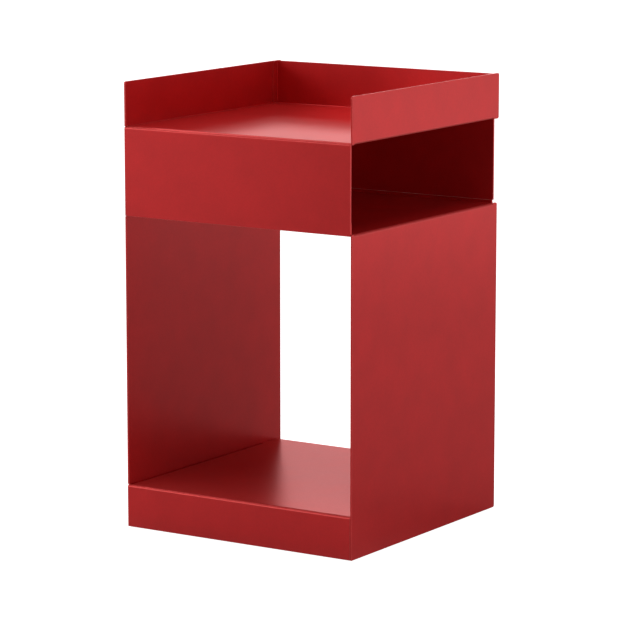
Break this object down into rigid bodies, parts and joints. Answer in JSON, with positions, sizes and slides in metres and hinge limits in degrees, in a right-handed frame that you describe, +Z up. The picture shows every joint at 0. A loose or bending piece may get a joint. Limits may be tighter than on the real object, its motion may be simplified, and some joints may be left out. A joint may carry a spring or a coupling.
{
  "type": "side table",
  "caption": "Side table of folded, powder-coated sheet steel, with an open-fronted top tray, a pocket that opens to the right and a tall open bay over a plinth.",
  "frame": {"origin": "on the floor, midway across the width and midway along the tray's side rims", "axes": "+Z up, +Y from the open front to the back, +X to the right, the side that the pocket opens to"},
  "size_m": [0.355, 0.37, 0.6],
  "materials": {
    "red_powder_coat": "satin, slightly glossy red powder coat",
    "glide_plastic": "matt black"
  },
  "bodies": {
    "root": {"top_tray": "red_powder_coat", "shelf_and_right_side": "red_powder_coat", "back_wall": "red_powder_coat", "left_side_panel": "red_powder_coat", "base_deck": "red_powder_coat", "foot_plate_front_left": "red_powder_coat", "foot_plate_front_right": "red_powder_coat", "foot_plate_rear_left": "red_powder_coat", "foot_plate_rear_right": "red_powder_coat", "glide_front_left": "glide_plastic", "glide_front_right": "glide_plastic", "glide_rear_left": "glide_plastic", "glide_rear_right": "glide_plastic"}
  },
  "joints": []
}
